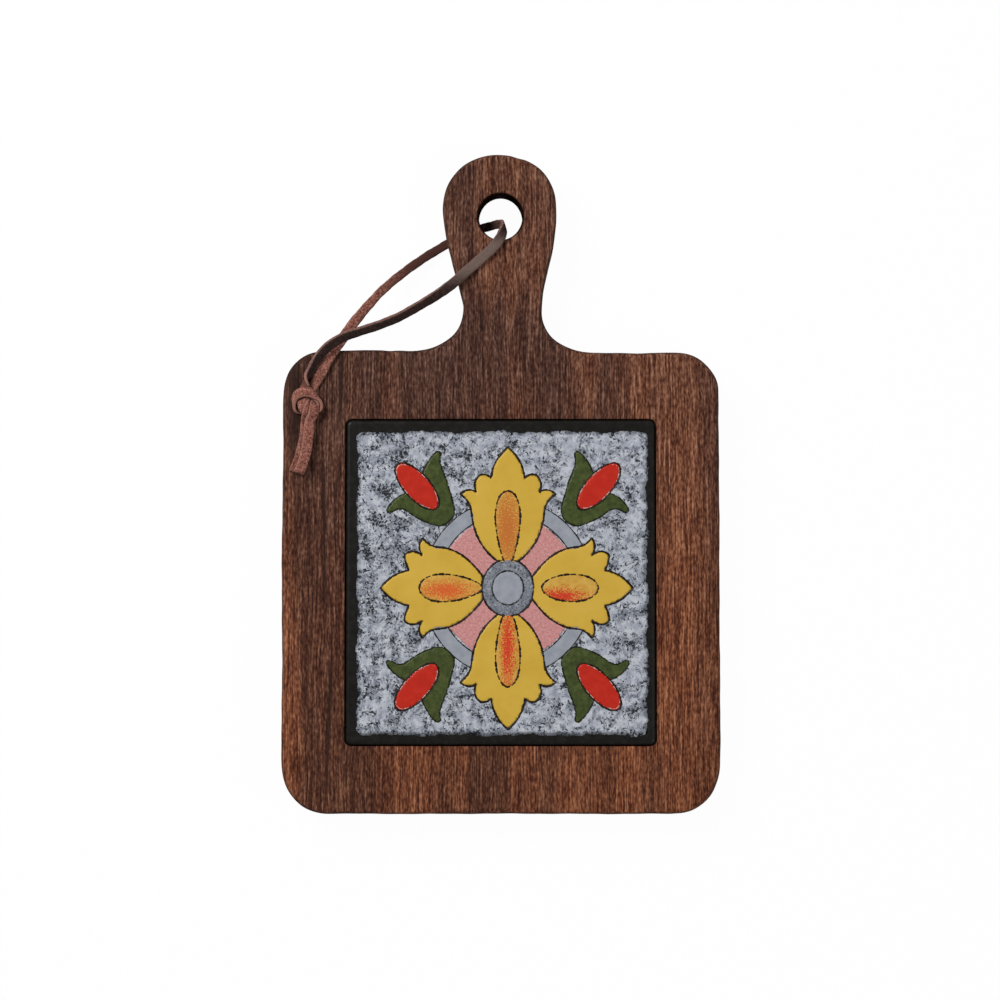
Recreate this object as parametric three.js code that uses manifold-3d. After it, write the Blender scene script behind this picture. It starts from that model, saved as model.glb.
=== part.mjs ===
// Wooden coaster: a paddle-shaped board with a glazed tile let into it and a leather lace through its handle.
// Millimetres, +Z up, handle towards +Y. The origin lies on the table, under the middle of the board.
import * as THREE from "three";
import { mergeVertices } from "three/addons/utils/BufferGeometryUtils.js";
import Module from "manifold-3d";

// Board outline
const BOARD_WIDTH = 142;
const BODY_LENGTH = 149.5;
const HANDLE_LENGTH = 65;
const BOARD_THICKNESS = 12;
const LOWER_CORNER_RADIUS = 15;
const UPPER_CORNER_RADIUS = 12.5;
const EDGE_ROUNDING = 1.6;

// Handle: a round head on a narrower neck that flares into the body
const HEAD_WIDTH = 37.3;
const HEAD_DROP = 18; // widest line of the head, below its tip
const NECK_WIDTH = 25.8;
const NECK_RISE = 13.3; // narrowest line of the neck, above the body
const FLARE_WIDTH = 60.5; // where the flare of the neck runs out into the body's edge
// How far each curve of the handle is drawn out towards its neighbour, as a share of its own stretch
const PULL = { flare: 0.35, neckFoot: 0.74, neckHead: 0.31, head: 0.39, tip: 0.6 };
const HOLE_DIAMETER = 14.4;
const HOLE_ROUNDING = 1;
const HOLE_DROP = 20.5; // hole centre, below the tip of the handle

// Tile, its pocket and the adhesive under it
const TILE_WIDTH = 100;
const TILE_LENGTH = 105;
const TILE_THICKNESS = 7;
const TILE_CORNER_RADIUS = 1.8;
const TILE_EDGE_ROUNDING = 1.1;
const RIB_PITCH = 10;
const GROOVE_WIDTH = 5;
const GROOVE_DEPTH = 0.8;
const POCKET_CLEARANCE = 0.4;
const POCKET_DEPTH = 7.2;
const ADHESIVE_THICKNESS = 1;
const DAB_DIAMETER = 24;
const DAB_INSET = 24; // dab centre, in from the edges of the tile

// Rubber feet
const FOOT_DIAMETER = 10;
const FOOT_HEIGHT = 2.5;
const FOOT_ROUNDING = 0.9;
const FOOT_INSET = 15; // foot centre, in from the edges of the body

// Leather lace
const LACE_WIDTH = 3.4;
const LACE_THICKNESS = 1.25;
const LACE_EDGE = 0.3; // corner taken off the edge of the lace
const REST_GAP = 0.3; // clearance under the lace where it lies on the board

// Fineness of the facets
const CURVE_POINTS = 14;
const ROUND_SEGMENTS = 32;
const ROUNDING_STEPS = 4;
const SMALL_ROUNDING_STEPS = 2;
const CUTTER_OVERRUN = 1; // how far a cutter runs past the face that it opens
const LOOP_STEPS = 66;
const TAIL_STEPS = 8;
const KNOT_STEPS = 60;

// Levels and edges worked out from the sizes above
const BOARD_BOTTOM = FOOT_HEIGHT;
const BOARD_TOP = BOARD_BOTTOM + BOARD_THICKNESS;
const POCKET_FLOOR = BOARD_TOP - POCKET_DEPTH;
const TILE_BOTTOM = POCKET_FLOOR + ADHESIVE_THICKNESS;
const BODY_FOOT = -(BODY_LENGTH + HANDLE_LENGTH) / 2;
const BODY_HEAD = BODY_FOOT + BODY_LENGTH;
const HANDLE_TIP = BODY_HEAD + HANDLE_LENGTH;
const BODY_MIDDLE = (BODY_FOOT + BODY_HEAD) / 2;

// Lace route. Each station is x, y, z and a roll in degrees: 0 lies flat with its smooth side up, 90 stands
// on edge and 180 lies flat with its rough side up.
const LACE_ON_BOARD = BOARD_TOP + REST_GAP + LACE_THICKNESS / 2;
const LACE_UNDER_BOARD = BOARD_BOTTOM / 2;

// From the knot over the handle, down through the hole, back under the handle and up to the knot
const LOOP_STATIONS = [
  [-62.5, 34.4, BOARD_TOP + 2.6, 60],
  [-60.6, 37.9, BOARD_TOP + 3.0, 60],
  [-58.6, 40.8, BOARD_TOP + 3.6, 47],
  [-55.5, 43.8, BOARD_TOP + 4.2, 42],
  [-50.8, 46.7, BOARD_TOP + 4.4, 45],
  [-46.0, 48.4, BOARD_TOP + 4.1, 50],
  [-40.0, 50.4, BOARD_TOP + 3.7, 50],
  [-33.0, 53.3, BOARD_TOP + 3.2, 50],
  [-27.2, 56.6, BOARD_TOP + 2.8, 48],
  [-21.5, 60.1, BOARD_TOP + 2.4, 40],
  [-15.8, 64.2, BOARD_TOP + 1.8, 20],
  [-11.9, 67.8, BOARD_TOP + 1.2, 6],
  [-8.2, 71.1, LACE_ON_BOARD, 0],
  [-4.6, 74.3, LACE_ON_BOARD, 0],
  [-2.0, 76.9, BOARD_TOP + 1.1, 4],
  [-0.2, 79.2, BOARD_TOP + 1.6, 18],
  [0.7, 81.3, BOARD_TOP + 1.7, 42],
  [1.1, 83.0, BOARD_TOP + 0.9, 70],
  [0.8, 84.2, BOARD_TOP - 1.0, 105],
  [-0.4, 84.9, BOARD_TOP - 4.4, 140],
  [-2.0, 85.1, BOARD_BOTTOM + 4.2, 160],
  [-3.7, 85.1, BOARD_BOTTOM + 1.4, 170],
  [-5.4, 84.9, BOARD_BOTTOM - 0.5, 176],
  [-7.4, 84.4, BOARD_BOTTOM - 1.2, 180],
  [-10.2, 83.4, LACE_UNDER_BOARD, 180],
  [-14.5, 81.4, LACE_UNDER_BOARD, 180],
  [-17.7, 79.6, LACE_UNDER_BOARD, 180],
  [-23.8, 75.8, BOARD_BOTTOM - 0.3, 176],
  [-29.6, 71.5, BOARD_BOTTOM + 1.7, 172],
  [-34.7, 67.1, BOARD_BOTTOM + 4.3, 170],
  [-39.0, 62.9, BOARD_BOTTOM + 6.7, 168],
  [-42.6, 58.6, BOARD_TOP - 3.1, 168],
  [-45.9, 54.4, BOARD_TOP - 1.3, 170],
  [-49.2, 49.8, BOARD_TOP + 0.3, 174],
  [-52.2, 45.2, BOARD_TOP + 1.0, 178],
  [-55.0, 41.5, LACE_ON_BOARD, 180],
  [-57.2, 37.4, LACE_ON_BOARD, 180],
  [-58.8, 34.4, LACE_ON_BOARD, 180],
];

// The tail that shows, leaning on the other one, and the tail under it on the board
const UPPER_TAIL_STATIONS = [
  [-61.8, 19.4, BOARD_TOP + 2.6, 162],
  [-62.2, 14.9, BOARD_TOP + 2.6, 162],
  [-62.8, 10.2, BOARD_TOP + 2.6, 162],
  [-64.0, 5.6, BOARD_TOP + 2.6, 162],
  [-65.3, 2.7, BOARD_TOP + 2.6, 162],
];
const LOWER_TAIL_STATIONS = [
  [-63.1, 19.5, LACE_ON_BOARD, 180],
  [-63.5, 14.8, LACE_ON_BOARD, 180],
  [-64.9, 8.6, LACE_ON_BOARD, 180],
  [-66.9, 3.1, LACE_ON_BOARD, 180],
];

// The overhand knot in the doubled lace: two turns of a three-lobed knot, opened at one lobe, where the
// lace comes in at the head and leaves at the foot
const KNOT_PLACE = [-63.5, 26.8];
const KNOT_RADIUS = 3;
const KNOT_SWING = 1.5; // how far the lace weaves in and out of that radius
const KNOT_WEAVE = 1.6; // how far it weaves up and down
const KNOT_CORD = 2;
const KNOT_SIDES = 8;
const KNOT_POINTS = 18;
const KNOT_OPENING = 0.45; // part of the turn left out at each side of the opened lobe, in radians
const KNOT_LEAD_IN = [[-1.8, 7.2, -1.7], [-0.4, 3.3, -0.4], [0, 0.6, 0]]; // from the opened lobe
const KNOT_LEAD_OUT = [[0, -0.6, 0], [-0.9, -3.3, 0], [-3.2, -6.6, 0]];

// Materials
const wood = new THREE.MeshStandardMaterial({ color: 0x56362a, roughness: 0.62, metalness: 0 });
const glaze = new THREE.MeshStandardMaterial({ color: 0xa4aab4, roughness: 0.22, metalness: 0 });
const putty = new THREE.MeshStandardMaterial({ color: 0xd8d2c4, roughness: 0.7, metalness: 0 });
const rubber = new THREE.MeshStandardMaterial({ color: 0x2b2927, roughness: 0.85, metalness: 0 });
const leather = new THREE.MeshStandardMaterial({ color: 0x74483d, roughness: 0.8, metalness: 0 });

const wasm = await Module();
wasm.setup();

const part = new THREE.Group();

function addPiece(name, geometry, material) {
  const mesh = new THREE.Mesh(geometry, material);
  mesh.name = name;
  part.add(mesh);
  return mesh;
}

// Joins and cuts

function toSolid(geometry) {
  const bare = geometry.clone();
  bare.deleteAttribute("normal");
  bare.deleteAttribute("uv");
  const merged = mergeVertices(bare, 1e-4);
  return new wasm.Manifold(
    new wasm.Mesh({
      numProp: 3,
      vertProperties: merged.attributes.position.array,
      triVerts: new Uint32Array(merged.index.array),
    }),
  );
}

function toGeometry(solid) {
  const mesh = solid.getMesh();
  const geometry = new THREE.BufferGeometry();
  geometry.setAttribute("position", new THREE.BufferAttribute(mesh.vertProperties, 3));
  geometry.setIndex(new THREE.BufferAttribute(mesh.triVerts, 1));
  geometry.computeVertexNormals();
  return geometry;
}

function cut(geometry, ...cutters) {
  const solid = cutters.reduce((rest, cutter) => rest.subtract(toSolid(cutter)), toSolid(geometry));
  return toGeometry(solid);
}

// Outlines and plain forms

// One side of the paddle, from the middle of its foot to the tip of its handle.
function paddleSide() {
  const side = BOARD_WIDTH / 2;
  const neckLevel = BODY_HEAD + NECK_RISE;
  const headLevel = HANDLE_TIP - HEAD_DROP;
  const neckToHead = headLevel - neckLevel;
  const path = new THREE.Path();
  path.moveTo(0, BODY_FOOT);
  path.lineTo(side - LOWER_CORNER_RADIUS, BODY_FOOT);
  path.absarc(side - LOWER_CORNER_RADIUS, BODY_FOOT + LOWER_CORNER_RADIUS, LOWER_CORNER_RADIUS, -Math.PI / 2, 0);
  path.absarc(side - UPPER_CORNER_RADIUS, BODY_HEAD - UPPER_CORNER_RADIUS, UPPER_CORNER_RADIUS, 0, Math.PI / 2);
  path.lineTo(FLARE_WIDTH / 2, BODY_HEAD);
  path.bezierCurveTo(
    FLARE_WIDTH / 2 - PULL.flare * (FLARE_WIDTH - NECK_WIDTH) / 2, BODY_HEAD,
    NECK_WIDTH / 2, neckLevel - PULL.neckFoot * NECK_RISE,
    NECK_WIDTH / 2, neckLevel,
  );
  path.bezierCurveTo(
    NECK_WIDTH / 2, neckLevel + PULL.neckHead * neckToHead,
    HEAD_WIDTH / 2, headLevel - PULL.head * neckToHead,
    HEAD_WIDTH / 2, headLevel,
  );
  path.bezierCurveTo(
    HEAD_WIDTH / 2, headLevel + PULL.tip * HEAD_DROP,
    PULL.tip * HEAD_WIDTH / 2, HANDLE_TIP,
    0, HANDLE_TIP,
  );
  return path.getPoints(CURVE_POINTS);
}

function paddleShape() {
  const right = paddleSide();
  const left = right.slice(1, -1).reverse().map((point) => new THREE.Vector2(-point.x, point.y));
  return new THREE.Shape([...right, ...left]);
}

function roundedRectangle(width, length, radius) {
  const x = width / 2 - radius;
  const y = length / 2 - radius;
  const shape = new THREE.Shape();
  shape.absarc(x, y, radius, 0, Math.PI / 2);
  shape.absarc(-x, y, radius, Math.PI / 2, Math.PI);
  shape.absarc(-x, -y, radius, Math.PI, 1.5 * Math.PI);
  shape.absarc(x, -y, radius, 1.5 * Math.PI, 2 * Math.PI);
  return shape;
}

// A slab whose edges are rounded inside its outline, standing on z = 0.
function roundedSlab(shape, thickness, rounding) {
  const geometry = new THREE.ExtrudeGeometry(shape, {
    depth: thickness - 2 * rounding,
    bevelThickness: rounding,
    bevelSize: rounding,
    bevelOffset: -rounding,
    bevelSegments: ROUNDING_STEPS,
    curveSegments: ROUNDING_STEPS,
  });
  return geometry.translate(0, 0, rounding);
}

function revolved(profile) {
  const geometry = new THREE.LatheGeometry(profile, ROUND_SEGMENTS);
  return geometry.rotateX(Math.PI / 2);
}

// Board

// Cutter for the hanging hole, with a mouth that rounds over into both faces.
function holeCutter() {
  const radius = HOLE_DIAMETER / 2;
  const mouth = radius + HOLE_ROUNDING;
  const lowTurn = BOARD_BOTTOM + HOLE_ROUNDING;
  const highTurn = BOARD_TOP - HOLE_ROUNDING;
  const profile = new THREE.Path();
  profile.moveTo(0, BOARD_BOTTOM - CUTTER_OVERRUN);
  profile.lineTo(mouth, BOARD_BOTTOM - CUTTER_OVERRUN);
  profile.lineTo(mouth, BOARD_BOTTOM);
  profile.absarc(mouth, lowTurn, HOLE_ROUNDING, -Math.PI / 2, -Math.PI, true);
  profile.absarc(mouth, highTurn, HOLE_ROUNDING, Math.PI, Math.PI / 2, true);
  profile.lineTo(mouth, BOARD_TOP + CUTTER_OVERRUN);
  profile.lineTo(0, BOARD_TOP + CUTTER_OVERRUN);
  return revolved(profile.getPoints(ROUNDING_STEPS)).translate(0, HANDLE_TIP - HOLE_DROP, 0);
}

function pocketCutter() {
  const outline = roundedRectangle(
    TILE_WIDTH + 2 * POCKET_CLEARANCE,
    TILE_LENGTH + 2 * POCKET_CLEARANCE,
    TILE_CORNER_RADIUS + POCKET_CLEARANCE,
  );
  const geometry = new THREE.ExtrudeGeometry(outline, {
    depth: POCKET_DEPTH + CUTTER_OVERRUN,
    bevelEnabled: false,
    curveSegments: ROUNDING_STEPS,
  });
  return geometry.translate(0, BODY_MIDDLE, POCKET_FLOOR);
}

function board() {
  const plank = roundedSlab(paddleShape(), BOARD_THICKNESS, EDGE_ROUNDING).translate(0, 0, BOARD_BOTTOM);
  addPiece("board", cut(plank, pocketCutter(), holeCutter()), wood);
}

// Tile and adhesive

function tile() {
  const outline = roundedRectangle(TILE_WIDTH, TILE_LENGTH, TILE_CORNER_RADIUS);
  const slab = roundedSlab(outline, TILE_THICKNESS, TILE_EDGE_ROUNDING);
  const grooveCount = Math.floor(TILE_WIDTH / RIB_PITCH) - 1;
  const grooves = [];
  for (let i = 0; i < grooveCount; i += 1) {
    const groove = new THREE.BoxGeometry(GROOVE_WIDTH, TILE_LENGTH + 2 * CUTTER_OVERRUN, 2 * GROOVE_DEPTH);
    grooves.push(groove.translate((i - (grooveCount - 1) / 2) * RIB_PITCH, 0, 0));
  }
  const mesh = addPiece("ceramic_tile", cut(slab, ...grooves), glaze);
  mesh.position.set(0, BODY_MIDDLE, TILE_BOTTOM);
}

function adhesiveDabs() {
  const radius = DAB_DIAMETER / 2;
  const bulge = ADHESIVE_THICKNESS / 2;
  const profile = new THREE.Path();
  profile.moveTo(0, 0);
  profile.lineTo(radius - bulge, 0);
  profile.absarc(radius - bulge, bulge, bulge, -Math.PI / 2, Math.PI / 2);
  profile.lineTo(0, ADHESIVE_THICKNESS);
  const x = TILE_WIDTH / 2 - DAB_INSET;
  const y = TILE_LENGTH / 2 - DAB_INSET;
  const places = [[-x, y], [x, y], [0, 0], [-x, -y], [x, -y]];
  places.forEach(([across, along], i) => {
    const mesh = addPiece(`adhesive_dab_${i + 1}`, revolved(profile.getPoints(SMALL_ROUNDING_STEPS)), putty);
    mesh.position.set(across, BODY_MIDDLE + along, POCKET_FLOOR);
  });
}

// Feet

function feet() {
  const radius = FOOT_DIAMETER / 2;
  const profile = new THREE.Path();
  profile.moveTo(0, 0);
  profile.lineTo(radius - FOOT_ROUNDING, 0);
  profile.absarc(radius - FOOT_ROUNDING, FOOT_ROUNDING, FOOT_ROUNDING, -Math.PI / 2, 0);
  profile.lineTo(radius, FOOT_HEIGHT);
  profile.lineTo(0, FOOT_HEIGHT);
  const x = BOARD_WIDTH / 2 - FOOT_INSET;
  const rows = [BODY_HEAD - FOOT_INSET, BODY_FOOT + FOOT_INSET];
  rows.flatMap((y) => [[-x, y], [x, y]]).forEach(([across, along], i) => {
    const mesh = addPiece(`foot_${i + 1}`, revolved(profile.getPoints(SMALL_ROUNDING_STEPS)), rubber);
    mesh.position.set(across, along, 0);
  });
}

// Lace

// A flat lace's curve through its stations, which turns the section by their rolls.
class LaceRoute extends THREE.CatmullRomCurve3 {
  constructor(stations) {
    super(stations.map(([x, y, z]) => new THREE.Vector3(x, y, z)), false, "centripetal");
    this.rolls = stations.map((station) => THREE.MathUtils.degToRad(station[3]));
  }

  rollAt(share) {
    const place = this.getUtoTmapping(share) * (this.rolls.length - 1);
    const before = Math.min(Math.floor(place), this.rolls.length - 2);
    return THREE.MathUtils.lerp(this.rolls[before], this.rolls[before + 1], place - before);
  }

  computeFrenetFrames(segments) {
    const frames = { tangents: [], normals: [], binormals: [] };
    const up = new THREE.Vector3(0, 0, 1);
    for (let i = 0; i <= segments; i += 1) {
      const tangent = this.getTangentAt(i / segments);
      const level = up.clone().cross(tangent).normalize();
      const widthways = level.applyAxisAngle(tangent, this.rollAt(i / segments));
      frames.tangents.push(tangent);
      frames.normals.push(widthways);
      frames.binormals.push(tangent.clone().cross(widthways));
    }
    return frames;
  }
}

// Eight-sided section of the flat lace.
function laceSection() {
  const x = LACE_WIDTH / 2;
  const y = LACE_THICKNESS / 2;
  const corners = [
    [x, y - LACE_EDGE], [x - LACE_EDGE, y], [LACE_EDGE - x, y], [-x, y - LACE_EDGE],
    [-x, LACE_EDGE - y], [LACE_EDGE - x, -y], [x - LACE_EDGE, -y], [x, LACE_EDGE - y],
  ];
  return new THREE.Shape(corners.map(([across, through]) => new THREE.Vector2(across, through)));
}

function addLace(name, stations, steps) {
  const geometry = new THREE.ExtrudeGeometry(laceSection(), { steps, extrudePath: new LaceRoute(stations) });
  addPiece(name, geometry, leather);
}

function knotPoints() {
  const core = [];
  for (let i = 0; i <= KNOT_POINTS; i += 1) {
    const turn = THREE.MathUtils.lerp(KNOT_OPENING, 2 * Math.PI - KNOT_OPENING, i / KNOT_POINTS);
    const radius = KNOT_RADIUS + KNOT_SWING * Math.cos(3 * turn);
    core.push(new THREE.Vector3(
      radius * Math.cos(2 * turn),
      -radius * Math.sin(2 * turn),
      KNOT_WEAVE * Math.sin(3 * turn),
    ));
  }
  const reach = KNOT_RADIUS + KNOT_SWING;
  const rise = core[0].z;
  const leadIn = KNOT_LEAD_IN.map(([x, y, z]) => new THREE.Vector3(reach + x, y, rise + z));
  const leadOut = KNOT_LEAD_OUT.map(([x, y, z]) => new THREE.Vector3(reach + x, y, z - rise));
  const place = new THREE.Vector3(...KNOT_PLACE, BOARD_TOP + REST_GAP + KNOT_WEAVE + KNOT_CORD / 2);
  return [...leadIn, ...core, ...leadOut].map((point) => point.add(place));
}

function laceKnot() {
  const section = new THREE.Shape();
  section.absarc(0, 0, KNOT_CORD / 2, 0, 2 * Math.PI);
  const outline = new THREE.Shape(section.getSpacedPoints(KNOT_SIDES).slice(0, KNOT_SIDES));
  const path = new THREE.CatmullRomCurve3(knotPoints());
  addPiece("lace_knot", new THREE.ExtrudeGeometry(outline, { steps: KNOT_STEPS, extrudePath: path }), leather);
}

function lace() {
  addLace("lace_loop", LOOP_STATIONS, LOOP_STEPS);
  laceKnot();
  addLace("lace_tail_upper", UPPER_TAIL_STATIONS, TAIL_STEPS);
  addLace("lace_tail_lower", LOWER_TAIL_STATIONS, TAIL_STEPS);
}

board();
tile();
adhesiveDabs();
feet();
lace();

export default part;
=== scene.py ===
"""Wooden coaster with a glazed tile and a leather lace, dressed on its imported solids."""
import math
import bpy
import numpy as np
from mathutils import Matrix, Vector, geometry


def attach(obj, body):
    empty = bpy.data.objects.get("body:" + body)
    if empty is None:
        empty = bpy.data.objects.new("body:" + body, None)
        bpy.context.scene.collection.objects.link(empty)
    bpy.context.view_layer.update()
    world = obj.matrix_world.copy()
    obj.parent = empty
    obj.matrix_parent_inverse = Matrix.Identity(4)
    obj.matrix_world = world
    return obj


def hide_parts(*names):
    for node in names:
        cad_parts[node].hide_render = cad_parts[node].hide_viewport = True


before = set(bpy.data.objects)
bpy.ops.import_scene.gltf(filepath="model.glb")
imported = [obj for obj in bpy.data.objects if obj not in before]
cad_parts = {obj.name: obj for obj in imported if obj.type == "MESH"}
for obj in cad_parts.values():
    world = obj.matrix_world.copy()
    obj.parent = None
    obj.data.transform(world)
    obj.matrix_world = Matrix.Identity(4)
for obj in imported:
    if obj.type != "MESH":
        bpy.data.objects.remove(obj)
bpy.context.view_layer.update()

# Sizes in millimetres, as in the part's source
MM = 0.001
BOARD_WIDTH = 142
BODY_LENGTH = 149.5
HANDLE_LENGTH = 65
BOARD_BOTTOM = 2.5
BOARD_TOP = 14.5
LOWER_CORNER_RADIUS = 15
UPPER_CORNER_RADIUS = 12.5
EDGE_ROUNDING = 1.6
HEAD_WIDTH = 37.3
HEAD_DROP = 18
NECK_WIDTH = 25.8
NECK_RISE = 13.3
FLARE_WIDTH = 60.5
PULL = {"flare": 0.35, "neck_foot": 0.74, "neck_head": 0.31, "head": 0.39, "tip": 0.6}
HOLE_RADIUS = 7.2
HOLE_ROUNDING = 1
HOLE_DROP = 20.5
TILE_WIDTH = 100
TILE_LENGTH = 105
TILE_TOP = 15.3
TILE_CORNER_RADIUS = 1.8
POCKET_CLEARANCE = 0.4
POCKET_FLOOR = 7.3
LACE_WIDTH = 3.4
LACE_THICKNESS = 1.25
LACE_ON_BOARD = 15.425
LACE_UNDER_BOARD = 1.25

BODY_FOOT = -(BODY_LENGTH + HANDLE_LENGTH) / 2
BODY_HEAD = BODY_FOOT + BODY_LENGTH
HANDLE_TIP = BODY_HEAD + HANDLE_LENGTH
BODY_MIDDLE = (BODY_FOOT + BODY_HEAD) / 2
HOLE_LEVEL = HANDLE_TIP - HOLE_DROP


def unit(vectors):
    return vectors / np.maximum(np.linalg.norm(vectors, axis=-1, keepdims=True), 1e-9)


def distances(points):
    """How far along a line of points each one lies."""
    return np.concatenate([[0], np.cumsum(np.linalg.norm(np.diff(points, axis=0), axis=1))])


def waves(along, *parts):
    """A sum of sine waves, each (height, length, shift), at these distances."""
    return sum(height * np.sin(2 * np.pi * along / length + shift) for height, length, shift in parts)


def linked(name, data):
    """A new object in the scene."""
    made = bpy.data.objects.new(name, data)
    bpy.context.scene.collection.objects.link(made)
    return made


def mesh_of(name, points, faces, materials):
    """A mesh from points in millimetres."""
    mesh = bpy.data.meshes.new(name)
    mesh.from_pydata((np.asarray(points) * MM).tolist(), [], faces)
    for material in materials:
        mesh.materials.append(material)
    return mesh


def band(first, second):
    """Faces between two closed loops of point numbers."""
    return list(zip(first, second, np.roll(second, -1), np.roll(first, -1)))


def add_piece(name, points, faces, materials, slot, zones=None):
    """A smooth mesh piece that rides on the object's one body."""
    mesh = mesh_of(name, points, faces, materials)
    if zones is not None:
        mesh.polygons.foreach_set("material_index", zones)
    mesh.polygons.foreach_set("use_smooth", [True] * len(mesh.polygons))
    mesh.update()
    piece = linked(name, mesh)
    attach(piece, "root")
    return piece


# Camera: almost straight down on the face, tilted a little from the foot end
CAMERA_TARGET = (-0.2, -5.93, 14.5)
CAMERA_DISTANCE = 900
CAMERA_TILT = math.radians(3.5)
CAMERA_LENS = 100
CAMERA_SENSOR = 36


def add_camera():
    data = bpy.data.cameras.new("camera")
    data.lens = CAMERA_LENS
    data.sensor_width = CAMERA_SENSOR
    camera = linked("camera", data)
    away = Vector((0, -math.sin(CAMERA_TILT), math.cos(CAMERA_TILT)))
    camera.location = (Vector(CAMERA_TARGET) + CAMERA_DISTANCE * away) * MM
    camera.rotation_euler = (CAMERA_TILT, 0, 0)
    bpy.context.scene.camera = camera


# Node materials


def srgb(red, green, blue):
    """A colour as a picture shows it, 0 to 255, in the linear values that nodes take."""
    shares = [channel / 255 for channel in (red, green, blue)]
    return (*[s / 12.92 if s <= 0.04045 else ((s + 0.055) / 1.055) ** 2.4 for s in shares], 1)


class Paint:
    """A node material around one Principled shader, with short ways to add the usual nodes."""

    def __init__(self, name, **constants):
        self.material = bpy.data.materials.new(name)
        self.material.use_nodes = True
        self.tree = self.material.node_tree
        self.shader = self.tree.nodes["Principled BSDF"]
        for socket, value in constants.items():
            self.shader.inputs[socket.replace("_", " ")].default_value = value
        self.place = self.node("ShaderNodeTexCoord").outputs["Object"]

    def node(self, kind, inputs=(), **settings):
        node = self.tree.nodes.new(kind)
        for name, value in settings.items():
            setattr(node, name, value)
        for socket, value in dict(inputs).items():
            self.put(node.inputs[socket], value)
        return node

    def put(self, socket, value):
        if isinstance(value, bpy.types.NodeSocket):
            self.tree.links.new(value, socket)
        else:
            socket.default_value = value

    def stretched(self, size_x, size_y=None, size_z=None, place=None):
        """Coordinates in which one unit is this many millimetres along each axis, or one size along all."""
        sizes = (size_x, size_y or size_x, size_z or size_x)
        inputs = {"Vector": place or self.place, "Scale": tuple(1 / (size * MM) for size in sizes)}
        return self.node("ShaderNodeMapping", inputs).outputs["Vector"]

    def noise(self, place, detail=2.0, roughness=0.5, distortion=0.0, shift=0.0):
        """Noise about one unit across, from 0 to 1."""
        inputs = {
            "Vector": self.vector("ADD", place, (shift, 2 * shift, 3 * shift)),
            "Scale": 1.0,
            "Detail": detail,
            "Roughness": roughness,
            "Distortion": distortion,
        }
        return self.node("ShaderNodeTexNoise", inputs).outputs["Fac"]

    def ramp(self, factor, stops, *colours):
        """A colour ramp through picture colours at these stops."""
        node = self.node("ShaderNodeValToRGB", {"Fac": factor})
        elements = node.color_ramp.elements
        while len(elements) < len(stops):
            elements.new(1.0)
        for element, position, colour in zip(elements, stops, colours):
            element.position = position
            element.color = srgb(*colour)
        return node.outputs["Color"]

    def between(self, value, low, high):
        """0 below low and 1 above high, smooth between them. With low above high it falls instead."""
        inputs = {"Value": value, "From Min": low, "From Max": high}
        return self.node("ShaderNodeMapRange", inputs, interpolation_type="SMOOTHSTEP").outputs["Result"]

    def maths(self, operation, first, second=0.0):
        return self.node("ShaderNodeMath", {0: first, 1: second}, operation=operation).outputs[0]

    def plus(self, first, second):
        return self.maths("ADD", first, second)

    def minus(self, first, second):
        return self.maths("SUBTRACT", first, second)

    def times(self, first, second):
        return self.maths("MULTIPLY", first, second)

    def vector(self, operation, first, second):
        return self.node("ShaderNodeVectorMath", {0: first, 1: second}, operation=operation).outputs[0]

    def length(self, vector):
        return self.node("ShaderNodeVectorMath", {0: vector}, operation="LENGTH").outputs["Value"]

    def added(self, *parts):
        """Values added up, each (value, weight)."""
        total = 0.0
        for value, weight in parts:
            total = self.plus(total, self.times(value, weight))
        return total

    def weighted(self, *parts):
        """Noises added up about their middle, each (noise, weight)."""
        return self.plus(0.5, self.added(*[(self.minus(noise, 0.5), weight) for noise, weight in parts]))

    def mix(self, factor, first, second, blend="MIX"):
        inputs = {"Factor": factor, 6: first, 7: second}
        return self.node("ShaderNodeMix", data_type="RGBA", blend_type=blend, inputs=inputs).outputs[2]

    def axis(self, which):
        return self.node("ShaderNodeSeparateXYZ", {0: self.place}).outputs[which]

    def set(self, socket, value):
        self.put(self.shader.inputs[socket], value)
        return self

    def bump(self, height, depth, strength=1.0):
        """Relief this many millimetres deep."""
        inputs = {"Height": height, "Distance": depth * MM, "Strength": strength}
        self.set("Normal", self.node("ShaderNodeBump", inputs).outputs["Normal"])
        return self


# Colours of the wood from its darkest to its lightest fibres, in a dark place and in a warm one
DARK_WOOD = [(32, 13, 8), (50, 26, 18), (70, 44, 35), (93, 65, 54), (122, 92, 80)]
WARM_WOOD = [(48, 21, 11), (73, 38, 24), (103, 63, 46), (133, 90, 68), (160, 118, 95)]
# Darker streaks that run with the grain: middle, half length, half width and lean
DARK_STREAKS = [
    (-55.3, -76, 34, 1.0, 0.03),
    (-57, -15, 30, 0.8, -0.02),
    (-51.8, 31, 16, 1.1, 0.02),
    (-67, 28, 24, 4, 0),
]
STREAK_STRENGTH = 0.85
STREAK_EDGE = 0.6  # how ragged a streak's edge is
WOOD_STOPS = (0.1, 0.3, 0.5, 0.7, 0.92)
WOOD_SHEEN = 0.16  # fades out on the hole's rim and wall, which carry painted shade


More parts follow.
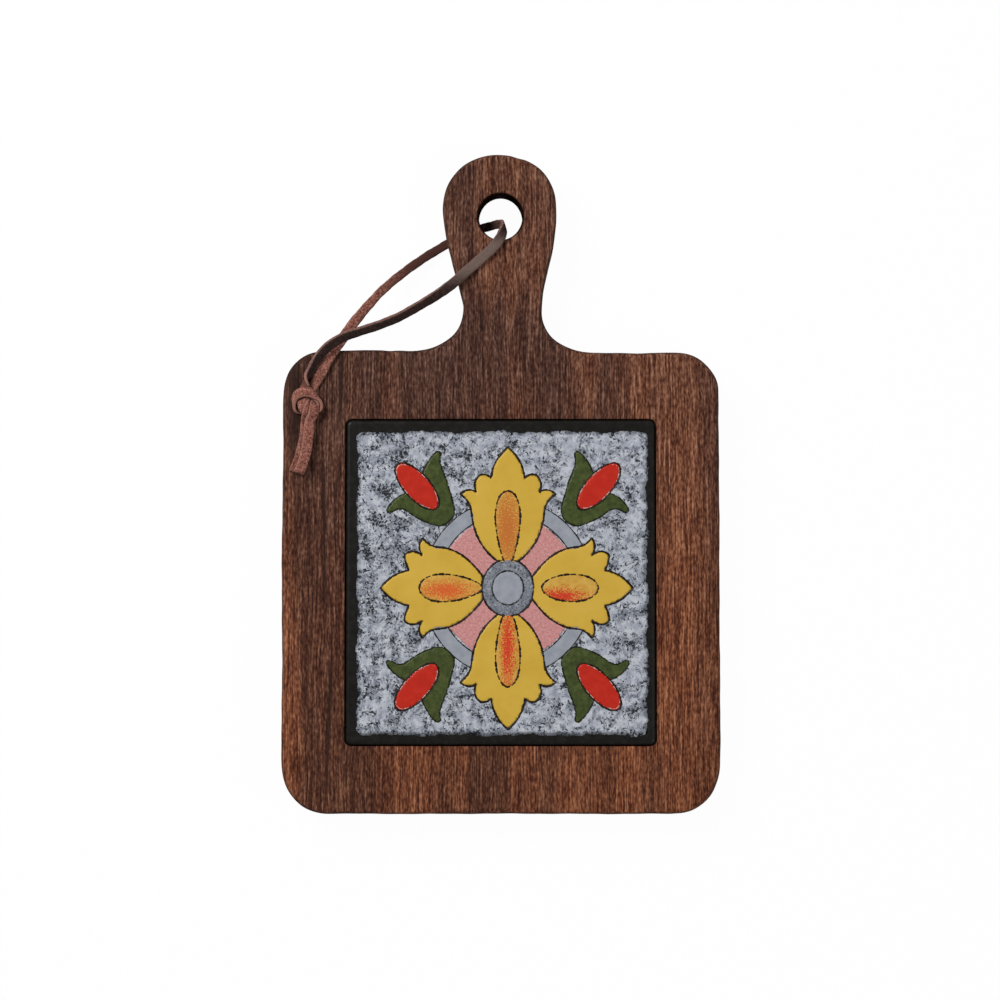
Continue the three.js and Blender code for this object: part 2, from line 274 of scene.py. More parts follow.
def wood_paint():
    """Dark stained straight-grained wood: broad bands, long fibres, and short light and dark flecks, with
    painted light towards the right and painted shade on the rounded edges and in the hole.
    """
    paint = Paint("stained_wood")
    wander = paint.noise(paint.stretched(9, 34, 9), detail=1)
    sideways = paint.node("ShaderNodeCombineXYZ", {"X": paint.times(wander, 2.2 * MM)}).outputs[0]
    grain = paint.vector("ADD", paint.place, sideways)

    fleck = paint.noise(paint.stretched(0.54, 1.7, 0.54, grain), detail=1, shift=11)
    thread = paint.noise(paint.stretched(0.54, 8, 0.54, grain), detail=1, shift=5)
    fibre = paint.noise(paint.stretched(0.6, 30, 0.6, grain), detail=1, shift=7)
    streak = paint.noise(paint.stretched(2.4, 80, 2.4, grain), detail=2, shift=3)
    figure = paint.weighted((fleck, 0.95), (thread, 1.0), (fibre, 0.75), (streak, 0.3))
    dark, warm = (paint.ramp(figure, WOOD_STOPS, *colours) for colours in (DARK_WOOD, WARM_WOOD))
    broad = paint.between(paint.noise(paint.stretched(13, 200, 13, grain), detail=2), 0.3, 0.75)
    # Painted light: the wood is drawn lighter towards its right side
    right = paint.between(paint.axis("X"), -70 * MM, 80 * MM)
    low = paint.between(paint.axis("Y"), 60 * MM, -80 * MM)
    handle = paint.between(paint.axis("Y"), 46 * MM, 70 * MM)
    tone = paint.added((right, 0.6), (low, 0.25), (broad, 0.8), (handle, 0.45))
    colour = paint.mix(paint.between(tone, 0.45, 1.25), dark, warm)
    colour = paint.mix(low, colour, (1.2, 1.0, 0.79, 1), "MULTIPLY")

    for x, y, half_length, half_width, lean in DARK_STREAKS:
        along = paint.minus(paint.axis("Y"), y * MM)
        middle = paint.plus(paint.times(along, lean), x * MM)
        off = paint.maths("ABSOLUTE", paint.minus(paint.axis("X"), middle))
        ragged = paint.plus(off, paint.times(fibre, 2 * STREAK_EDGE * MM))
        near = paint.between(ragged, (half_width + STREAK_EDGE) * MM, STREAK_EDGE * MM)
        here = paint.between(paint.maths("ABSOLUTE", along), half_length * MM, 0.4 * half_length * MM)
        share = paint.times(paint.times(near, here), STREAK_STRENGTH)
        colour = paint.mix(share, colour, srgb(38, 23, 18))

    # Painted shade: rounded edges and walls that turn away from straight up are darkened towards near black
    normal = paint.node("ShaderNodeTexCoord").outputs["Normal"]
    facing = paint.node("ShaderNodeSeparateXYZ", {0: normal}).outputs["Z"]
    turned = paint.between(paint.maths("ABSOLUTE", facing), 0.96, 0.35)
    colour = paint.mix(paint.times(turned, 0.6), colour, srgb(24, 15, 12))
    # Painted shade: the hole's rounded rim and its wall are darkened to near black, with no sheen there
    from_hole = paint.vector("SUBTRACT", paint.place, (0, HOLE_LEVEL * MM, 0))
    reach = paint.length(paint.vector("MULTIPLY", from_hole, (1, 1, 0)))
    hole_wall_shade = paint.between(reach, (HOLE_RADIUS + HOLE_ROUNDING) * MM, (HOLE_RADIUS + 0.3) * MM)
    colour = paint.mix(paint.times(hole_wall_shade, 0.9), colour, srgb(12, 7, 6))
    paint.set("Base Color", colour)
    paint.set("Specular IOR Level", paint.times(paint.between(hole_wall_shade, 1.0, 0.0), WOOD_SHEEN))
    paint.set("Roughness", paint.between(thread, -0.9, 0.9))
    return paint.bump(figure, 0.1, 0.4).material


def leather_paint(name, dark, middle, light, grain_size, relief, *changes):
    """One face of the lace, mottled at the size of its grain, with painted shade in its crevices. Each change
    is a colour and the stretches of the lace, as (axis, from, to), over which it comes in."""
    paint = Paint(name, Roughness=0.8, Specular_IOR_Level=0.2, Sheen_Weight=0.04, Sheen_Roughness=0.5)
    grain = paint.noise(paint.stretched(grain_size), detail=4, roughness=0.65)
    cloud = paint.noise(paint.stretched(5), detail=2, shift=5)
    colour = paint.ramp(grain, (0.34, 0.5, 0.66), dark, middle, light)
    colour = paint.mix(paint.times(paint.between(cloud, 0.5, 0.25), 0.45), colour, srgb(*dark))
    for other, *stretches in changes:
        share = paint.plus(0.55, paint.times(grain, 0.6))
        for axis, low, high in stretches:
            share = paint.times(share, paint.between(paint.axis(axis), low * MM, high * MM))
        colour = paint.mix(share, colour, srgb(*other))
    # Painted shade: darker red where the lace's folds and crevices close in on it
    open_to_light = paint.node("ShaderNodeAmbientOcclusion", {"Distance": 1.6 * MM}, samples=8).outputs["AO"]
    colour = paint.mix(paint.between(open_to_light, 0.75, 0.25), colour, srgb(52, 18, 11))
    paint.set("Base Color", colour)
    return paint.bump(grain, relief, 0.8).material


def rubber_paint():
    paint = Paint("foot_rubber", Roughness=0.8, Specular_IOR_Level=0.3)
    speck = paint.noise(paint.stretched(0.4), detail=3)
    paint.set("Base Color", paint.ramp(speck, (0.3, 0.7), (36, 34, 32), (56, 53, 50)))
    return paint.bump(speck, 0.05).material


def adhesive_paint():
    paint = Paint("adhesive", Roughness=0.55, Specular_IOR_Level=0.4)
    cloud = paint.noise(paint.stretched(2), detail=3)
    paint.set("Base Color", paint.ramp(cloud, (0.3, 0.7), (205, 198, 184), (228, 222, 208)))
    return paint.bump(cloud, 0.1).material


GLAZED = {"Roughness": 0.3, "Specular_IOR_Level": 0.2}
# Each glaze's darker, middle and lighter clouds, and how wide the clouds are
GLAZES = {
    "yellow": ((193, 156, 58), (198, 162, 62), (202, 166, 70), 9),
    "red": ((172, 36, 22), (180, 38, 24), (186, 46, 30), 3),
    "green": ((48, 58, 28), (62, 72, 35), (76, 84, 43), 1.6),
    "pink": ((170, 112, 110), (190, 132, 130), (204, 150, 148), 0.7),
    "blue_grey": ((134, 138, 148), (144, 148, 157), (152, 155, 163), 3),
    "mottled": ((92, 96, 106), (120, 124, 133), (150, 153, 160), 1),
    "line": ((24, 18, 15), (32, 25, 21), (44, 36, 31), 3),
    "pale_line": ((186, 150, 140), (202, 170, 160), (212, 186, 178), 1.5),
    "black": ((15, 14, 12), (21, 20, 18), (29, 28, 25), 2),
}


def glaze_paint(name):
    """Coloured glaze with soft clouds and, on the mottled one, small dark specks."""
    *colours, patch = GLAZES[name]
    paint = Paint("glaze_" + name, **GLAZED)
    cloud = paint.noise(paint.stretched(patch), detail=3, roughness=0.6)
    colour = paint.ramp(cloud, (0.3, 0.5, 0.7), *colours)
    if name == "mottled":
        dots = paint.noise(paint.stretched(0.55), detail=2, shift=4)
        colour = paint.mix(paint.times(paint.between(dots, 0.54, 0.64), 0.75), colour, srgb(42, 44, 50))
    paint.set("Base Color", colour)
    unevenness = paint.noise(paint.stretched(6), detail=1, shift=9)
    return paint.bump(unevenness, 0.02, 0.2).material


def oval_paint(side, turn, colour, along, away, reach, width):
    """Yellow glaze with another colour stippled over it, thickest at one place on the petal's axis."""
    paint = Paint("glaze_oval_" + side, **GLAZED)
    c, s = math.cos(math.radians(turn)), math.sin(math.radians(turn))
    x = paint.minus(paint.axis("X"), FLOWER[0] * MM)
    y = paint.minus(paint.axis("Y"), FLOWER[1] * MM)
    on_axis = paint.added((x, -s), (y, c))
    off_axis = paint.added((x, c), (y, s))
    spot = paint.node("ShaderNodeCombineXYZ", {
        "X": paint.times(paint.minus(on_axis, along * MM), 1 / (reach * MM)),
        "Y": paint.times(paint.minus(off_axis, away * MM), 1 / (width * MM)),
    })
    off = paint.length(spot.outputs[0])
    stipple = paint.noise(paint.stretched(0.5), detail=1, shift=turn)
    heat = paint.plus(paint.minus(1.0, off), paint.times(stipple, 3.0))
    cloud = paint.noise(paint.stretched(2))
    ground = paint.ramp(cloud, (0.3, 0.7), (186, 140, 56), (204, 164, 78))
    paint.set("Base Color", paint.mix(paint.between(heat, 1.4, 2.2), ground, colour))
    return paint.material


def field_paint():
    """Pale ground under dark specks and short strokes that swirl and gather in clouds."""
    paint = Paint("glaze_field", **GLAZED)
    inputs = {"Vector": paint.stretched(8), "Scale": 1.0, "Detail": 1.0}
    swirl = paint.node("ShaderNodeTexNoise", inputs).outputs["Color"]
    swirled = paint.vector("ADD", paint.place, paint.vector("MULTIPLY", swirl, (14 * MM,) * 3))
    patches = paint.noise(paint.stretched(2), detail=2, shift=2)
    ground = paint.ramp(patches, (0.3, 0.48, 0.66), (140, 145, 156), (164, 169, 179), (186, 189, 196))
    cloud = paint.noise(paint.stretched(5), detail=3, roughness=0.6, shift=12)
    left = paint.between(paint.axis("X"), 20 * MM, -46 * MM)
    gather = paint.weighted((cloud, 1.0), (left, 0.05))
    stroke = paint.noise(paint.stretched(0.75, 2.4, 1, swirled), detail=2, roughness=0.6, shift=8)
    speck = paint.noise(paint.stretched(0.75), detail=2, roughness=0.6, distortion=0.5, shift=6)
    strokes = paint.between(paint.weighted((stroke, 1.0), (gather, 0.9)), 0.48, 0.57)
    specks = paint.between(paint.weighted((speck, 1.1), (gather, 0.75)), 0.58, 0.62)
    colour = paint.mix(paint.times(strokes, 0.65), ground, srgb(90, 94, 104))
    colour = paint.mix(paint.times(specks, 0.95), colour, srgb(30, 32, 37))
    paint.set("Base Color", colour)
    return paint.bump(paint.noise(paint.stretched(5), detail=1), 0.02, 0.2).material


# Lace: one length, from the tip of one tail through the knot, round the loop and through the knot again

# From the knot over the handle, down through the hole, back under the handle and up to the knot.
# Each station is x, y, z and a roll in degrees: 0 lies with its smooth side up, 180 with its rough side up.
LOOP_STATIONS = [
    (-62.5, 34.4, BOARD_TOP + 2.6, 60),
    (-60.6, 37.9, BOARD_TOP + 3.0, 60),
    (-58.6, 40.8, BOARD_TOP + 3.6, 47),
    (-55.5, 43.8, BOARD_TOP + 4.2, 42),
    (-50.8, 46.7, BOARD_TOP + 4.4, 45),
    (-46.0, 48.4, BOARD_TOP + 4.1, 50),
    (-40.0, 50.4, BOARD_TOP + 3.7, 50),
    (-33.0, 53.3, BOARD_TOP + 3.2, 50),
    (-27.2, 56.6, BOARD_TOP + 2.8, 48),
    (-21.5, 60.1, BOARD_TOP + 2.4, 40),
    (-15.8, 64.2, BOARD_TOP + 1.8, 20),
    (-11.9, 67.8, BOARD_TOP + 1.2, 6),
    (-8.2, 71.1, LACE_ON_BOARD, 0),
    (-4.6, 74.3, LACE_ON_BOARD, 0),
    (-2.0, 76.9, BOARD_TOP + 1.1, 4),
    (-0.2, 79.2, BOARD_TOP + 1.6, 18),
    (0.7, 81.3, BOARD_TOP + 1.7, 42),
    (1.1, 83.0, BOARD_TOP + 0.9, 70),
    (0.8, 84.2, BOARD_TOP - 1.0, 105),
    (-0.4, 84.9, BOARD_TOP - 4.4, 140),
    (-2.0, 85.1, BOARD_BOTTOM + 4.2, 160),
    (-3.7, 85.1, BOARD_BOTTOM + 1.4, 170),
    (-5.4, 84.9, BOARD_BOTTOM - 0.5, 176),
    (-7.4, 84.4, BOARD_BOTTOM - 1.2, 180),
    (-10.2, 83.4, LACE_UNDER_BOARD, 180),
    (-14.5, 81.4, LACE_UNDER_BOARD, 180),
    (-17.7, 79.6, LACE_UNDER_BOARD, 180),
    (-23.8, 75.8, BOARD_BOTTOM - 0.3, 176),
    (-29.6, 71.5, BOARD_BOTTOM + 1.7, 172),
    (-34.7, 67.1, BOARD_BOTTOM + 4.3, 170),
    (-39.0, 62.9, BOARD_BOTTOM + 6.7, 168),
    (-42.6, 58.6, BOARD_TOP - 3.1, 168),
    (-45.9, 54.4, BOARD_TOP - 1.3, 170),
    (-49.2, 49.8, BOARD_TOP + 0.3, 174),
    (-52.2, 45.2, BOARD_TOP + 1.0, 178),
    (-55.0, 41.5, LACE_ON_BOARD, 180),
    (-57.2, 37.4, LACE_ON_BOARD, 180),
    (-58.8, 34.4, LACE_ON_BOARD, 180),
]
UPPER_TAIL_STATIONS = [
    (-61.8, 19.4, BOARD_TOP + 2.6, 162),
    (-62.2, 14.9, BOARD_TOP + 2.6, 162),
    (-62.8, 10.2, BOARD_TOP + 2.6, 162),
    (-64.0, 5.6, BOARD_TOP + 2.6, 162),
    (-65.3, 2.7, BOARD_TOP + 2.6, 162),
]
LOWER_TAIL_STATIONS = [
    (-63.1, 19.5, LACE_ON_BOARD, 180),
    (-63.5, 14.8, LACE_ON_BOARD, 180),
    (-64.9, 8.6, LACE_ON_BOARD, 180),
    (-66.9, 3.1, LACE_ON_BOARD, 180),
]

# The overhand knot before it is pulled tight: the middle of the doubled lace, from the knot's place on the
# board, and the way that the rough side looks.
KNOT_PLACE = (-63.5, 25.0, BOARD_TOP)
KNOT_STATIONS = [
    (1.0, 3.4, 2.8, 0, 0, 1),
    (0.3, 1.0, 4.0, 0, 0, 1),
    (-0.3, -1.4, 4.0, -0.3, 0, 0.95),
    (0.1, -3.4, 3.4, -0.5, -0.5, 0.7),
    (2.0, -4.6, 3.0, 0, -0.7, 0.7),
    (4.4, -3.0, 3.6, 0.5, -0.4, 0.75),
    (4.9, 0.0, 4.8, 0.5, 0, 0.85),
    (3.5, 2.8, 6.4, 0.3, 0.4, 0.85),
    (0.5, 3.8, 7.4, 0, 0.4, 0.9),
    (-2.5, 2.6, 6.4, -0.3, 0.4, 0.85),
    (-4.4, 0.1, 4.8, -0.5, 0, 0.85),
    (-4.2, -2.3, 2.8, -0.8, -0.4, 0.3),
    (-2.2, -3.0, 1.6, -0.4, -0.6, -0.6),
    (-0.4, -1.1, 1.2, 0, 0, -1),
    (1.5, 0.5, 1.4, 0.2, 0.2, -0.95),
    (2.7, 1.0, 3.0, 0.8, 0.4, -0.4),
    (2.2, 0.1, 5.4, 0.6, 0.3, 0.6),
    (1.0, -1.8, 6.4, 0, 0, 1),
    (0.3, -3.7, 5.6, 0, 0, 1),
]
ROW_SPACING = 0.8  # between the rows of three points that stand for the lace while it is pulled tight
POINT_SPACING = 1.0  # between the points of a row
TOUCHING = 1.1  # how close two points of the lace can lie
TIGHTENING = 0.4  # share of its length that the knot gives up
KNOT_ROUNDS = 420
PULLED_BY = 0.7  # share of the rounds after which the knot is as short as it gets
SEARCH_ROUNDS = 8  # from one search for points that may touch to the next
SEARCH_REACH = 2.5 * TOUCHING
SETTLINGS = 4  # of all points in each round
OVERSHOOT = 1.5  # of each settling, which brings the lace to rest sooner
CONTACT_PUSH = 1.5
CONTACT_WEIGHT = 3  # of a touching point, against a link
EDGE_STIFFNESS = 0.35  # of the lace's edges along it, against its middle
SLANT_STIFFNESS = 0.3
# How tightly the lace folds: rows apart, the least distance in row spacings, and stiffness
FOLD_LIMITS = [(2, 1.8, 0.7), (4, 2.6, 0.5)]
KEPT_SPEED = 0.85  # from one round to the next
SAG = (0, 0, -0.004)  # in each round
KNOT_SIZE = 0.84  # of the loose knot, against its stations


def curve_through(stations, spacing):
    """Evenly spaced rows along a centripetal curve through stations, whose first three columns are places."""
    stations = np.asarray(stations, float)
    ends = [2 * stations[0] - stations[1]], [2 * stations[-1] - stations[-2]]
    around = np.vstack([ends[0], stations, ends[1]])
    share = np.linspace(0, 1, 24, endpoint=False)[:, None]
    pieces = []
    for before, start, end, after in zip(around, around[1:], around[2:], around[3:]):
        sides = ((before, start), (start, end), (end, after))
        one, two, three = [max(np.linalg.norm((q - p)[:3]) ** 0.5, 1e-4) for p, q in sides]
        leave = (start - before) / one - (end - before) / (one + two) + (end - start) / two
        reach = (end - start) / two - (after - start) / (two + three) + (after - end) / three
        leave, reach = leave * two, reach * two
        square, cube = share**2, share**3
        pieces.append(
            start + leave * share
            + (3 * (end - start) - 2 * leave - reach) * square
            + (2 * (start - end) + leave + reach) * cube
        )
    fine = np.vstack([*pieces, stations[-1:]])
    along = distances(fine[:, :3])
    even = np.linspace(0, along[-1], int(round(along[-1] / spacing)) + 1)
    return np.stack([np.interp(even, along, column) for column in fine.T], axis=1)


def three_across(middle, across):
    """Rows of three points from the middle of the lace and the way across it."""
    return middle[:, None] + POINT_SPACING * np.array([-1, 0, 1])[None, :, None] * across[:, None]


def rolled_rows(stations):
    """Rows of three points across the lace along stations with a roll."""
    rows = curve_through(stations, ROW_SPACING)
    middle = rows[:, :3]
    tangent = unit(np.gradient(middle, axis=0))
    level = unit(np.cross((0, 0, 1), tangent))
    roll = np.radians(rows[:, 3:])
    across = level * np.cos(roll) + np.cross(tangent, level) * np.sin(roll)
    return three_across(middle, across)


def loose_rows(lead_in, lead_out, outward):
    """Rows of one lace through the loose knot, between two rows each that it has to meet at its ends."""
    stations = np.array(KNOT_STATIONS, float)
    rough = unit(stations[:, 3:])
    middle = KNOT_SIZE * stations[:, :3] + KNOT_PLACE + outward * rough * TOUCHING / 2
    ends = []
    for rows in (lead_in, lead_out):
        travel = unit(rows[1, 1] - rows[0, 1])
        across = unit(rows[:, 2] - rows[:, 0])
        ends.append(np.hstack([rows[:, 1], np.cross(across, travel)]))
    route = np.vstack([ends[0], np.hstack([middle, rough]), ends[1]])
    rows = curve_through(route, ROW_SPACING)
    middle, rough = rows[:, :3], rows[:, 3:]
    across = unit(np.cross(unit(np.gradient(middle, axis=0)), rough))
    strip = three_across(middle, across)
    strip[:2], strip[-2:] = lead_in, lead_out
    return strip


def lace_links(starts, counts):
    """What holds the lace's points together, each as first point, second point, length, stiffness, whether it
    shortens with the lace, and whether it only pushes."""
    links = []
    slant = math.hypot(ROW_SPACING, POINT_SPACING)
    for start, count in zip(starts, counts):
        for row in range(count):
            left, middle, right = start + 3 * row + np.arange(3)
            links += [(left, middle, POINT_SPACING, 1, 0, 0), (middle, right, POINT_SPACING, 1, 0, 0)]
            links.append((left, right, 2 * POINT_SPACING, 1, 0, 0))
            if row + 1 < count:
                for point, stiffness in ((left, EDGE_STIFFNESS), (middle, 1), (right, EDGE_STIFFNESS)):
                    links.append((point, point + 3, ROW_SPACING, stiffness, 1, 0))
                links += [(point, point + 4, slant, SLANT_STIFFNESS, 0, 0) for point in (left, middle)]
                links += [(point, point + 2, slant, SLANT_STIFFNESS, 0, 0) for point in (middle, right)]
            for apart, least, stiffness in FOLD_LIMITS:
                if row + apart < count:
                    links.append((middle, middle + 3 * apart, least * ROW_SPACING, stiffness, 1, 1))
    return links


def push(move, weight, first, second, shift, share):
    """Adds shifts to the first points and their opposites to the second ones, with a share in the mean."""
    np.add.at(move, first, shift)
    np.add.at(move, second, -shift)
    np.add.at(weight, first, share)
    np.add.at(weight, second, share)


def pull_tight(strips):
    """Shortens strips of rows while keeping them as flat laces, apart from each other and on the board."""
    counts = [len(strip) for strip in strips]
    starts = np.cumsum([0] + [3 * count for count in counts])
    points = np.vstack([strip.reshape(-1, 3) for strip in strips])
    lace_of = np.repeat(np.arange(len(strips)), [3 * count for count in counts])
    row_of = np.concatenate([np.repeat(np.arange(count), 3) for count in counts])

    links = np.array(lace_links(starts, counts))
    first, second = links[:, 0].astype(int), links[:, 1].astype(int)
    length, stiffness = links[:, 2], links[:, 3]
    shortens, pushes = links[:, 4] > 0, links[:, 5] > 0

    held = np.zeros(len(points), bool)
    for start, end in zip(starts, starts[1:]):
        held[start:start + 6] = held[end - 6:end] = True
    free = ~held
    apart = (lace_of[:, None] != lace_of) | (abs(row_of[:, None] - row_of) > 3)
    one, other = np.nonzero(np.triu(apart, 1))
    speed = np.zeros_like(points)
    for turn in range(KNOT_ROUNDS):
        if turn % SEARCH_ROUNDS == 0:
            close = (abs(points[other] - points[one]) < SEARCH_REACH).all(axis=1)
            near, far = one[close], other[close]
        pulled = TIGHTENING * min(1, turn / (PULLED_BY * KNOT_ROUNDS))
        wanted = np.where(shortens, length * (1 - pulled), length)
        before = points.copy()
        points[free] += KEPT_SPEED * speed[free] + SAG
        for _ in range(SETTLINGS):
            move, weight = np.zeros_like(points), np.zeros(len(points))
            span = points[second] - points[first]
            size = np.linalg.norm(span, axis=1)
            error = np.where(pushes, np.minimum(size - wanted, 0), size - wanted)
            shift = span * (0.5 * stiffness * error / np.maximum(size, 1e-9))[:, None]
            push(move, weight, first, second, shift, 1)
            span = points[far] - points[near]
            size = np.linalg.norm(span, axis=1)
            hits = size < TOUCHING
            shift = span[hits] * (CONTACT_PUSH * (1 - TOUCHING / np.maximum(size[hits], 1e-6)))[:, None]
            push(move, weight, near[hits], far[hits], shift, CONTACT_WEIGHT)
            points[free] += (OVERSHOOT * move / np.maximum(weight, 1)[:, None])[free]
            points[free, 2] = np.maximum(points[free, 2], BOARD_TOP + TOUCHING / 2)
        speed = points - before
    return [points[start:end].reshape(-1, 3, 3) for start, end in zip(starts, starts[1:])]


def lace_rows():
    """Rows across the whole lace, tip to tip."""
    loop = rolled_rows(LOOP_STATIONS)
    upper = rolled_rows(UPPER_TAIL_STATIONS)
    lower = rolled_rows(LOWER_TAIL_STATIONS)
    flipped = slice(None, None, -1)
    front_in = loop[1::-1, flipped]
    outer, inner = pull_tight([
        loose_rows(front_in, upper[:2], 1),
        loose_rows(loop[-2:], lower[:2], -1),
    ])
    rows = np.concatenate([upper[:1:-1, flipped], outer[::-1, flipped], loop[2:-2], inner, lower[2:]])
    for _ in range(2):
        rows[1:-1] = 0.25 * rows[:-2] + 0.5 * rows[1:-1] + 0.25 * rows[2:]
    return rows


def lace_section():
    """Corners of the lace's section, and the zone of each side: 0 smooth, 1 edge, 2 rough."""
    wide, thick = LACE_WIDTH / 2, LACE_THICKNESS / 2
    face = [(-0.93, 0.86), (-0.55, 0.97), (0, 1), (0.55, 0.97), (0.93, 0.86)]
    top = [(wide * across, thick * through) for across, through in face]
    bottom = [(-across, -through) for across, through in top]
    right, left = [(wide, thick * 0.4), (wide, -thick * 0.4)], [(-wide, -thick * 0.4), (-wide, thick * 0.4)]
    corners = np.array(top + right + bottom + left)
    zones = [0] * 4 + [1] * 3 + [2] * 4 + [1] * 3
    return corners, zones


def add_lace(smooth, edge, rough):
    rows = lace_rows()
    middle = rows[:, 1]
    tangent = unit(np.gradient(middle, axis=0))
    across = unit(rows[:, 2] - rows[:, 0])
    up = unit(np.cross(tangent, across))
    along = distances(middle)
    slim = 1 - 0.15 * np.clip((BOARD_TOP - middle[:, 2]) / 4, 0, 1)  # drawn narrower where it hangs low
    corners, zones = lace_section()
    size = len(corners)
    points = []
    for side, (offset, height) in enumerate(corners):
        uneven = slim + waves(along, (0.03, 7.1, side * 0.2), (0.02, 2.9, side * 0.5))
        points.append(middle + across * (offset * uneven)[:, None] + up * height)
    points = np.stack(points, axis=1).reshape(-1, 3)
    faces, face_zones = [], []
    for row in range(len(middle) - 1):
        ring = row * size + np.arange(size)
        faces += band(ring, ring + size)
        face_zones += zones
    last = (len(middle) - 1) * size
    faces += [tuple(range(size)), tuple(last + side for side in reversed(range(size)))]
    face_zones += [1, 1]
    lace = add_piece("leather_lace", points, faces, [smooth, edge, rough], "lace_leather", face_zones)
    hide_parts("lace_loop", "lace_knot", "lace_tail_upper", "lace_tail_lower")


# Board


def bezier(*handles, count=40):
    """Points along a Bezier curve from its first handle to its last."""
    share = np.linspace(0, 1, count)[:, None]
    order = len(handles) - 1
    return sum(
        math.comb(order, k) * (1 - share) ** (order - k) * share**k * np.array(handle, float)
        for k, handle in enumerate(handles)
    )


def arc(centre, radius, start, end, count=24):
    angle = np.radians(np.linspace(start, end, count))
    return np.stack([centre[0] + radius * np.cos(angle), centre[1] + radius * np.sin(angle)], axis=1)


def ellipse(radii, count=96):
    return arc((0, 0), 1, 0, 360, count + 1)[:-1] * radii


def evenly(outline, spacing):
    """A closed outline with its points evenly spaced."""
    closed = np.vstack([outline, outline[:1]])
    along = distances(closed)
    even = np.linspace(0, along[-1], int(round(along[-1] / spacing)), endpoint=False)
    return np.stack([np.interp(even, along, closed[:, axis]) for axis in (0, 1)], axis=1)


def outward(outline):
    """Unit vectors out of a closed counter-clockwise outline."""
    along = unit(np.roll(outline, -1, axis=0) - np.roll(outline, 1, axis=0))
    return np.stack([along[:, 1], -along[:, 0]], axis=1)


HOLE_STRETCH = (0.985, 1.06)  # cut by hand, so a little longer than wide
# How far to the right the neck and the head of the handle stand, shaped by hand
NECK_LEAN = 0.5
HEAD_LEAN = -0.3
LEAN_REACH = 14  # along the handle, over which a lean comes in
OUTLINE_SPACING = 1.0
# Dents in the hand-worked edge and, where the depth is negative, swells: place, depth and half width
EDGE_DENTS = [
    (-50, 42.2, -0.75, 11), (-34, 42.2, -0.75, 11), (-36, 42.2, 0.3, 2), (46, 42.2, 0.2, 4),
    (67.3, 38.5, 0.6, 7), (-70, 33, 0.35, 6), (-70, -96, 0.4, 7), (69.5, -97, 0.25, 6),
    (-71, 10, 0.25, 24), (-71, -65, 0.25, 24), (5.8, 107, 0.35, 2), (-12.8, 58, 0.25, 3),
]


def paddle_outline():
    side = BOARD_WIDTH / 2
    neck_level = BODY_HEAD + NECK_RISE
    head_level = HANDLE_TIP - HEAD_DROP
    rise = head_level - neck_level
    low, high = side - LOWER_CORNER_RADIUS, side - UPPER_CORNER_RADIUS
    handles = [
        (FLARE_WIDTH / 2, BODY_HEAD),
        (FLARE_WIDTH / 2 - PULL["flare"] * (FLARE_WIDTH - NECK_WIDTH) / 2, BODY_HEAD),
        (NECK_WIDTH / 2, neck_level - PULL["neck_foot"] * NECK_RISE),
        (NECK_WIDTH / 2, neck_level),
        (NECK_WIDTH / 2, neck_level + PULL["neck_head"] * rise),
        (HEAD_WIDTH / 2, head_level - PULL["head"] * rise),
        (HEAD_WIDTH / 2, head_level),
        (HEAD_WIDTH / 2, head_level + PULL["tip"] * HEAD_DROP),
        (PULL["tip"] * HEAD_WIDTH / 2, HANDLE_TIP),
        (0, HANDLE_TIP),
    ]
    right = np.vstack([
        arc((low, BODY_FOOT + LOWER_CORNER_RADIUS), LOWER_CORNER_RADIUS, -90, 0),
        arc((high, BODY_HEAD - UPPER_CORNER_RADIUS), UPPER_CORNER_RADIUS, 0, 90),
        handles[:1],
        *[bezier(*handles[first:first + 4])[1:] for first in (0, 3, 6)],
    ])
    left = right[-2::-1] * (-1, 1)
    outline = evenly(np.vstack([right, left]), OUTLINE_SPACING)
    at_neck = np.exp(-(((outline[:, 1] - neck_level) / LEAN_REACH) ** 2))
    at_head = np.clip((outline[:, 1] - head_level + LEAN_REACH) / LEAN_REACH, 0, 1)
    outline[:, 0] += NECK_LEAN * at_neck + HEAD_LEAN * at_head
    along = np.arange(len(outline))
    inward = 0.05 + waves(along, (0.05, 61, 0.4), (0.05, 23, 2.0), (0.03, 9, 1.1))
    for x, y, depth, reach in EDGE_DENTS:
        inward = inward + depth * np.exp(-((np.linalg.norm(outline - (x, y), axis=1) / reach) ** 2))
    return outline - outward(outline) * inward[:, None]


def rounded_rectangle(width, length, radius, centre, spacing):
    x, y = width / 2 - radius, length / 2 - radius
    corners = [((x, y), 0), ((-x, y), 90), ((-x, -y), 180), ((x, -y), 270)]
    outline = np.vstack([arc(place, radius, angle, angle + 90, 8) for place, angle in corners])
    return evenly(outline + centre, spacing)


def inside(places, outline):
    """Which places lie inside a closed outline."""
    x, y = places[:, :1], places[:, 1:]
    start, end = outline, np.roll(outline, -1, axis=0)
    crosses = (start[:, 1] > y) != (end[:, 1] > y)
    rise = np.where(start[:, 1] == end[:, 1], 1, end[:, 1] - start[:, 1])
    at = start[:, 0] + (y - start[:, 1]) / rise * (end[:, 0] - start[:, 0])
    return ((crosses & (x < at)).sum(axis=1) % 2).astype(bool)


def within(places, outlines):
    """Which places lie inside the first outline and outside the others."""
    keep = inside(places, outlines[0])
    for outline in outlines[1:]:
        keep &= ~inside(places, outline)
    return keep


